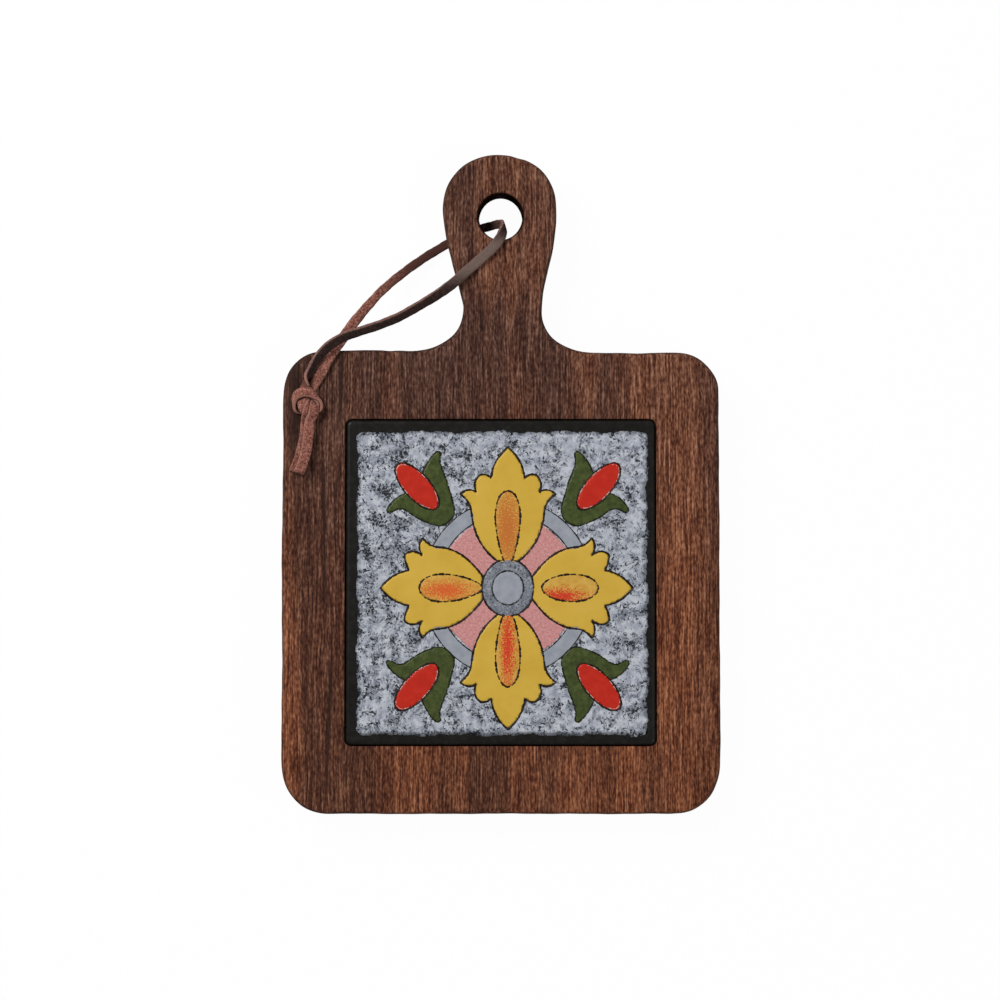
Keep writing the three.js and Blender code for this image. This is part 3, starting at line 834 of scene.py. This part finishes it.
def filled(outlines, spacing, margin):
    """Points and triangles of the flat area inside the first outline and outside the others.
    The points begin with those of the outlines, in order."""
    rim = np.vstack(outlines)
    edges, start = [], 0
    for outline in outlines:
        count = len(outline)
        edges += [(start + i, start + (i + 1) % count) for i in range(count)]
        start += count
    low, high = outlines[0].min(axis=0), outlines[0].max(axis=0)
    columns = np.arange(low[0] + spacing / 2, high[0], spacing)
    levels = np.arange(low[1] + spacing / 2, high[1], spacing)
    places = np.stack(np.meshgrid(columns, levels), axis=-1).reshape(-1, 2)
    places = places[within(places, outlines)]
    clear = np.array([np.min(((rim - place) ** 2).sum(axis=1)) > margin**2 for place in places], bool)
    points = np.vstack([rim, places[clear]] if len(places) else [rim])
    made = geometry.delaunay_2d_cdt([Vector(point) for point in points], edges, [], 1, 1e-5)
    source = [ids[0] for ids in made[3]]
    triangles = np.array([[source[corner] for corner in face] for face in made[2]])
    triangles = triangles[within(points[triangles].mean(axis=1), outlines)]
    one, two, three = (points[triangles[:, corner]] for corner in range(3))
    turned = np.cross(two - one, three - one) < 0
    triangles[turned] = triangles[turned][:, ::-1]
    return points, triangles


class Shell:
    """Points and faces of a piece that is put together from loops and filled areas."""

    def __init__(self):
        self.points, self.faces, self.count = [], [], 0

    def loop(self, outline, level):
        indices = self.count + np.arange(len(outline))
        self.points.append(np.column_stack([outline, np.broadcast_to(level, len(outline))]))
        self.count += len(outline)
        return indices

    def tube(self, loops):
        """Walls from each loop, (outline, level), to the next, looking outwards where that lies above."""
        made = [self.loop(*loop) for loop in loops]
        for low, high in zip(made, made[1:]):
            self.faces += band(high, low)
        return made

    def fill(self, loops, outlines, level, upwards, spacing, margin):
        points, triangles = filled(outlines, spacing, margin)
        rim = np.concatenate(loops)
        extra = self.loop(points[len(rim):], level)
        indices = np.concatenate([rim, extra])[triangles]
        self.faces += (indices if upwards else indices[:, ::-1]).tolist()

    def whole(self):
        return np.vstack(self.points), self.faces


def add_board(wood):
    shell = Shell()
    outline = paddle_outline()
    out = outward(outline)
    quarter = np.radians([0, 22, 45, 68, 90])

    def edge_loop(turn, level, way):
        inset, drop = EDGE_ROUNDING * (1 - math.cos(turn)), EDGE_ROUNDING * (1 - math.sin(turn))
        return outline - out * inset, level + way * drop

    below = [edge_loop(turn, BOARD_BOTTOM, 1) for turn in quarter[::-1]]
    above = [edge_loop(turn, BOARD_TOP, -1) for turn in quarter]
    rim = shell.tube(below + above)

    circle = ellipse((1, 1), 64)
    hole = []
    for turn in quarter[::-1]:
        radius = HOLE_RADIUS + HOLE_ROUNDING * (1 - math.cos(turn))
        hole.append((radius, BOARD_TOP - HOLE_ROUNDING * (1 - math.sin(turn))))
    hole += [(radius, BOARD_BOTTOM + BOARD_TOP - level) for radius, level in reversed(hole)]
    hole_loops = [(circle * radius * HOLE_STRETCH + (0, HOLE_LEVEL), level) for radius, level in hole]
    bore = shell.tube(hole_loops)

    eased = 0.3
    pocket = [(eased, BOARD_TOP), (0.09, BOARD_TOP - 0.1), (0, BOARD_TOP - eased), (0, POCKET_FLOOR)]
    middle = rounded_rectangle(
        TILE_WIDTH + 2 * POCKET_CLEARANCE, TILE_LENGTH + 2 * POCKET_CLEARANCE,
        TILE_CORNER_RADIUS + POCKET_CLEARANCE, (0, BODY_MIDDLE), OUTLINE_SPACING,
    )
    pocket_out = outward(middle)
    ragged = waves(np.arange(len(middle)), (0.05, 31, 0), (0.05, 7.7, 1), (0.04, 3.1, 2))
    grown = pocket_out * (1 + ragged * 6)[:, None]
    pocket_loops = [(middle + grow * grown, level) for grow, level in pocket]
    well = shell.tube(pocket_loops)

    top = [above[-1][0], pocket_loops[0][0], hole_loops[0][0]]
    bottom = [below[0][0], hole_loops[-1][0]]
    shell.fill([rim[-1], well[0], bore[0]], top, BOARD_TOP, upwards=True, spacing=2.5, margin=1.2)
    shell.fill([well[-1]], [pocket_loops[-1][0]], POCKET_FLOOR, upwards=True, spacing=8, margin=4)
    shell.fill([rim[0], bore[-1]], bottom, BOARD_BOTTOM, upwards=False, spacing=8, margin=3)
    board = add_piece("board_plank", *shell.whole(), [wood], "wood")
    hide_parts("board")


# Glazed ornament on the tile: low cushions of coloured glaze with fine dark lines round them

FLOWER = np.array([2.35, BODY_MIDDLE - 1.95])
FIELD_LOW = np.array([-46.3, BODY_MIDDLE - 49.35])
FIELD_HIGH = np.array([47.4, BODY_MIDDLE + 48.65])
DISC = (8.4, 9.2)
DISC_MIDDLE = (5.1, 5.5)
RING_OUTER = (27.5, 28.6)
RING_INNER = (22.9, 23.8)
PETAL_LENGTHS = {"north": 45.6, "south": 45.6, "west": 41.2, "east": 40.4}
# One side of an upright and of a level petal from the disc to its tip: the place where it starts, then for
# each stretch a bend and the corner that it leads to, as (away from the axis, along the axis)
UPRIGHT_PETAL = [
    (2.6, 8.1),
    ((10.9, 13.6), (11.8, 24.6)),
    ((12.2, 28.2), (15.5, 30.4)),
    ((12.6, 32.8), (10.3, 31.0)),
    ((11.6, 34.8), (9.0, 36.6)),
    ((7.2, 37.3), (5.4, 35.6)),
    ((5.0, 41.4), (0.0, 45.6)),
]
LEVEL_PETAL = [
    (3.6, 8.0),
    ((13.0, 14.7), (13.2, 22.6)),
    ((13.4, 25.6), (16.2, 27.6)),
    ((13.6, 29.6), (10.5, 27.7)),
    ((12.2, 29.6), (11.6, 31.8)),
    ((11.2, 33.8), (9.2, 33.3)),
    ((7.4, 32.8), (5.7, 32.0)),
    ((4.8, 37.6), (0.0, 41.2)),
]
# Each petal's oval: where it starts and ends along the petal, half its width, how much wider it is at its
# outer end, and how wide it is cut off at the disc
OVALS = {
    "north": (8.6, 31.4, 3.9, 0.3, 0.8),
    "west": (8.2, 28.6, 4.3, 0.3, 0),
    "south": (8.6, 31.9, 3.9, 0.2, 0.8),
    "east": (11.0, 29.2, 4.4, 0.08, 0),
}
# The colour stippled over each oval: where it is thickest along and across the petal, and how far it reaches
OVAL_HEAT = {
    "north": ((184, 106, 46), 19, 0, 15, 5.0),
    "west": ((202, 92, 42), 20, -0.8, 10, 3.6),
    "south": ((196, 58, 34), 19, 0, 15, 2.8),
    "east": ((194, 54, 34), 17, 2.8, 9, 3.2),
}
BUD_PLACE = (29.4, 32.4)
BUD_RISE = 0.5  # of all four buds, above the flower's middle
BUD_LEAN = (0.675, 0.738)
BUD_LENGTH = 9.6
BUD_HALF_WIDTH = 4.1
# The upright leaf and the level leaf under a bud, each from behind the bud to its inner edge: the place where
# it starts, then for each stretch a bend and the corner that it leads to, as (along the bud, off its axis)
UPRIGHT_LEAF = [
    (-15.5, 0),
    ((-15.6, 3.2), (-12.6, 4.7)),
    ((-8.6, 6.7), (-5.2, 8.4)),
    ((-2.0, 9.4), (0.2, 10.6)),
    ((1.6, 11.6), (2.6, 13.0)),
    ((4.0, 13.2), (4.1, 11.8)),
    ((4.2, 8.4), (2.2, 4.4)),
]
LEVEL_LEAF = UPRIGHT_LEAF[:2] + [
    ((-8.0, 7.2), (-4.6, 7.7)),
    ((-1.4, 8.1), (-1.0, 10.4)),
    ((-0.8, 12.4), (0.2, 12.8)),
    ((1.4, 12.6), (1.6, 10.4)),
    ((2.2, 7.4), (1.0, 4.4)),
]
BUD_RIM = 0.93  # of the bud's size, where its pale line runs
FIELD_SPACING = 0.45
FIELD_CORNER_RADIUS = 2
GLAZE_SINK = 0.05  # how far a cushion reaches into what lies under it
LINE_HEIGHT = 0.04
LINE_SPACING = 0.3
TURNS = {"north": 0, "west": 90, "south": 180, "east": 270}


def half_outline(form):
    """Points from a start along stretches, each a bend and the corner that it leads to."""
    start, *stretches = form
    points = [np.array([start], float)]
    for turn, end in stretches:
        points.append(bezier(points[-1][-1], turn, end, count=9)[1:])
    return np.vstack(points)


def petal_outlines():
    """Each petal's outline and its oval, turned to its side of the flower."""
    angle = np.radians(np.linspace(0, 360, 72, endpoint=False))
    made = []
    for side, turn in TURNS.items():
        low, high, half_width, swell, cut_off = OVALS[side]
        across = half_width * np.sin(angle) * (1 + swell * np.cos(angle))
        across += np.sign(np.sin(angle)) * cut_off * np.clip(-np.cos(angle), 0, 1) ** 4
        oval = np.stack([across, (low + high) / 2 + (high - low) / 2 * np.cos(angle)], axis=1)
        half = half_outline(UPRIGHT_PETAL if turn % 180 == 0 else LEVEL_PETAL)
        half = half * (1, PETAL_LENGTHS[side] / half[-1, 1])
        whole = np.vstack([half, half[-2::-1] * (-1, 1)])
        c, s = math.cos(math.radians(turn)), math.sin(math.radians(turn))
        spin = np.array([[c, s], [-s, c]])
        made.append((whole @ spin + FLOWER, oval @ spin + FLOWER))
    return made


def bud_outlines():
    """Each corner's bud and the leaves under it."""
    upright, level = half_outline(UPRIGHT_LEAF), half_outline(LEVEL_LEAF)
    leaves = np.vstack([upright, level[:0:-1] * (1, -1)])
    bud = ellipse((BUD_LENGTH, BUD_HALF_WIDTH), 48)
    made = []
    for right in (-1, 1):
        for up in (-1, 1):
            along = unit(np.array(BUD_LEAN) * (right, up))
            away = np.array([-along[1], along[0]])
            axes = np.stack([along, away])
            place = FLOWER + (0, BUD_RISE) + np.array(BUD_PLACE) * (right, up)
            made.append((bud @ axes + place, (leaves * (1, right * up)) @ axes + place))
    return made


def ragged_field():
    x, y = (FIELD_HIGH - FIELD_LOW) / 2
    centre = (FIELD_LOW + FIELD_HIGH) / 2
    outline = rounded_rectangle(2 * x, 2 * y, FIELD_CORNER_RADIUS, centre, FIELD_SPACING)
    along = np.arange(len(outline)) * FIELD_SPACING
    rough = waves(along, (0.28, 23, 0.3), (0.22, 9.7, 1.9), (0.18, 4.3, 0.7), (0.14, 1.9, 2.2))
    return outline + outward(outline) * rough[:, None]


def cushion(outlines, base, height, roll_off, spacing):
    """Closed low cushions of glaze on these outlines. The height falls off within roll_off of the edge."""
    shell = Shell()
    for outline in outlines:
        flat, triangles = filled([outline], spacing, 0.45 * spacing)
        rim = len(outline)
        start, end = outline, np.roll(outline, -1, axis=0)
        step = end - start
        share = ((flat[:, None] - start) * step).sum(axis=2) / np.maximum((step**2).sum(axis=1), 1e-9)
        nearest = start + np.clip(share, 0, 1)[..., None] * step
        depth = np.sqrt(((flat[:, None] - nearest) ** 2).sum(axis=2).min(axis=1))
        depth[:rim] = 0
        rise = height * np.sqrt(1 - (1 - np.clip(depth / roll_off, 0, 1)) ** 2)
        upper = shell.loop(flat, base + rise)
        lower = np.concatenate([upper[:rim], shell.loop(flat[rim:], base - GLAZE_SINK)])
        shell.faces += upper[triangles].tolist() + lower[triangles][:, ::-1].tolist()
    return shell.whole()


def ring_cushion(outer, inner, base, height):
    """A closed flat ring of glaze with rounded edges."""
    profile = [(0, 0), (0.04, 0.6), (0.12, 0.95), (0.5, 1), (0.88, 0.95), (0.96, 0.6), (1, 0)]
    shell = Shell()
    loops = []
    for share, level in profile:
        radii = np.array(inner) * (1 - share) + np.array(outer) * share
        loops.append(shell.loop(ellipse(radii, 120) + FLOWER, base + level * height))
    for here, there in zip(loops, loops[1:] + loops[:1]):
        shell.faces += band(here, there)
    return shell.whole()


def lines_round(outlines, level, half_width, breaks=0.0):
    """Fine raised lines along closed outlines, which swell as a brush does and break off with more breaks."""
    shell = Shell()
    for number, outline in enumerate(outlines):
        path = evenly(outline, LINE_SPACING)
        out = outward(path)
        along = np.arange(len(path)) * LINE_SPACING
        swell = waves(along, (0.16, 2.3, number), (0.14, 1.1, 2.1 * number), (0.2, 7.9, 0.7 * number))
        width = half_width * np.clip(1 + swell * (1 + 3 * breaks) - breaks, 0, 1.5)
        loops = []
        for offset, rise in ((1, 0), (0, 1), (-1, 0)):
            loops.append(shell.loop(path + out * (offset * width)[:, None], level + rise * LINE_HEIGHT))
        drawn = (width > 0) & (np.roll(width, -1) > 0)
        for here, there in zip(loops, loops[1:] + loops[:1]):
            shell.faces += [face for face, kept in zip(band(there, here), drawn) if kept]
    return shell.whole()


def add_glaze():
    petals, ovals = zip(*petal_outlines())
    buds, leaves = zip(*bud_outlines())
    circles = [FLOWER + ellipse(radii) for radii in (RING_OUTER, RING_INNER, DISC, DISC_MIDDLE)]
    rims = [bud.mean(axis=0) + (bud - bud.mean(axis=0)) * BUD_RIM for bud in buds]
    paints = {name: glaze_paint(name) for name in GLAZES}
    paints["field"] = field_paint()
    low, high = TILE_TOP, TILE_TOP + 0.02

    # Cushions give the spacing of their edge, then base, height, roll-off and the spacing inside. Lines give
    # their level, half width and breaks.
    def mounds(outlines, spacing, *form):
        return cushion([evenly(outline, spacing) for outline in outlines], *form)

    parts = [
        ("field", cushion([ragged_field()], low, 0.03, 0.25, 1.6), "field"),
        ("leaves", mounds(leaves, 0.5, high, 0.08, 0.5, 0.8), "green"),
        ("buds", mounds(buds, 0.5, high + 0.05, 0.12, 0.7, 0.8), "red"),
        ("ring", ring_cushion(RING_OUTER, RING_INNER, high - 0.02, 0.08), "blue_grey"),
        ("pink_ground", mounds(circles[1:2], 0.8, high - 0.02, 0.06, 0.5, 1.2), "pink"),
        ("petals", mounds(petals, 0.45, high, 0.12, 0.5, 0.9), "yellow"),
        ("disc", mounds(circles[2:3], 0.6, high + 0.05, 0.14, 0.6, 0.8), "mottled"),
        ("disc_middle", mounds(circles[3:], 0.6, high + 0.16, 0.08, 0.6, 0.7), "blue_grey"),
        ("petal_lines", lines_round(petals, high + 0.06, 0.32), "line"),
        ("oval_lines", lines_round(ovals, high + 0.13, 0.32, 0.25), "line"),
        ("ring_lines", lines_round(circles[:2], high + 0.02, 0.22, 0.1), "line"),
        ("disc_lines", lines_round(circles[2:3], high + 0.1, 0.3, 0.1), "line"),
        ("disc_middle_line", lines_round(circles[3:], high + 0.2, 0.22, 0.2), "line"),
        ("bud_lines", lines_round(buds, high + 0.1, 0.3, 0.1), "line"),
        ("bud_rims", lines_round(rims, high + 0.15, 0.14, 0.7), "pale_line"),
        ("leaf_lines", lines_round(leaves, high + 0.02, 0.2, 0.2), "line"),
    ]
    for (side, turn), oval in zip(TURNS.items(), ovals):
        colour, *heat = OVAL_HEAT[side]
        name = "oval_" + side
        paints[name] = oval_paint(side, turn, srgb(*colour), *heat)
        parts.append((name, mounds([oval], 0.5, high + 0.11, 0.04, 0.5, 0.7), name))
    for name, (points, faces), paint in parts:
        add_piece("glaze_" + name, points, faces, [paints[paint]], "glazed_ceramic")
    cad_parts["ceramic_tile"].data.materials[0] = paints["black"]


# Stage and light

FLOOR_HALF = 1500
FLOOR_GLOW = 0.97  # the rest is the floor's own colour, which keeps the shadow
WORLD_LIGHT = 0.31
# Each lamp's place in metres, its width and its power
LAMPS = {"key": ((-0.55, 0.45, 0.75), 0.5, 8.4), "fill": ((0.7, -0.35, 0.7), 0.6, 3)}


def add_floor():
    points = [(x * FLOOR_HALF, y * FLOOR_HALF, 0) for x, y in ((-1, -1), (1, -1), (1, 1), (-1, 1))]
    paint = Paint("floor", Roughness=0.9, Specular_IOR_Level=0.1)
    soft = paint.noise(paint.stretched(400), detail=1)
    paint.set("Base Color", paint.ramp(soft, (0.3, 0.7), (240, 240, 240), (244, 244, 244)))
    path = paint.node("ShaderNodeLightPath")
    seen = paint.maths("MAXIMUM", path.outputs["Is Camera Ray"], path.outputs["Is Glossy Ray"])
    seen = paint.maths("MAXIMUM", seen, path.outputs["Is Transmission Ray"])
    glow = paint.node("ShaderNodeEmission", {"Color": (1, 1, 1, 1), "Strength": 1.0})
    share = paint.times(seen, FLOOR_GLOW)
    blend = paint.node("ShaderNodeMixShader", {0: share, 1: paint.shader.outputs[0], 2: glow.outputs[0]})
    output = paint.tree.nodes["Material Output"]
    paint.tree.links.new(blend.outputs[0], output.inputs["Surface"])
    floor = linked("floor", mesh_of("floor", points, [(0, 1, 2, 3)], [paint.material]))


def add_lamp(name, place, size, power):
    """A round soft lamp that points at the floor under the object's middle."""
    data = bpy.data.lights.new(name, "AREA")
    data.shape = "DISK"
    data.size = size
    data.energy = power
    lamp = linked(name, data)
    lamp.location = place
    lamp.rotation_euler = (-Vector(place)).to_track_quat("-Z", "Y").to_euler()


def add_light():
    world = bpy.data.worlds.new("studio")
    bpy.context.scene.world = world
    world.use_nodes = True
    nodes, links = world.node_tree.nodes, world.node_tree.links
    soft, seen = nodes["Background"], nodes.new("ShaderNodeBackground")
    for shader, strength in ((soft, WORLD_LIGHT), (seen, 1.0)):
        shader.inputs["Color"].default_value = (1, 1, 1, 1)
        shader.inputs["Strength"].default_value = strength
    path = nodes.new("ShaderNodeLightPath")
    blend = nodes.new("ShaderNodeMixShader")
    links.new(path.outputs["Is Camera Ray"], blend.inputs[0])
    links.new(soft.outputs[0], blend.inputs[1])
    links.new(seen.outputs[0], blend.inputs[2])
    links.new(blend.outputs[0], nodes["World Output"].inputs["Surface"])
    for name, lamp in LAMPS.items():
        add_lamp(name, *lamp)


bpy.context.scene.view_settings.view_transform = "Standard"
add_camera()
smooth = leather_paint(
    "lace_smooth", (34, 21, 18), (48, 31, 27), (68, 47, 41), 1.0, 0.06,
    # Painted reflection: the smooth side is lighter grey-brown where it lies flat over the handle
    ((108, 90, 82), ("Y", 62, 70), ("Y", 82, 77)),
)
edge = leather_paint(
    "lace_edge", (78, 52, 46), (110, 78, 70), (138, 104, 95), 0.5, 0.08,
    ((152, 105, 92), ("Y", 37, 33)),
)
rough = leather_paint(
    "lace_rough", (74, 34, 25), (136, 84, 71), (178, 126, 110), 0.6, 0.2,
    # Painted shade: the rough side is darker brown beside and under the handle and in the hole
    ((60, 34, 28), ("X", -44, -27)),
    # Painted shade: a dark brown band at the top of the knot
    ((78, 48, 42), ("X", -60, -61.5), ("Y", 29.5, 32)),
)
add_lace(smooth, edge, rough)
add_board(wood_paint())
add_glaze()
hidden_paints = {"foot": rubber_paint(), "adhesive": adhesive_paint()}
for name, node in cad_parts.items():
    kind = name.split("_")[0]
    if kind in hidden_paints:
        node.data.materials[0] = hidden_paints[kind]
add_floor()
add_light()
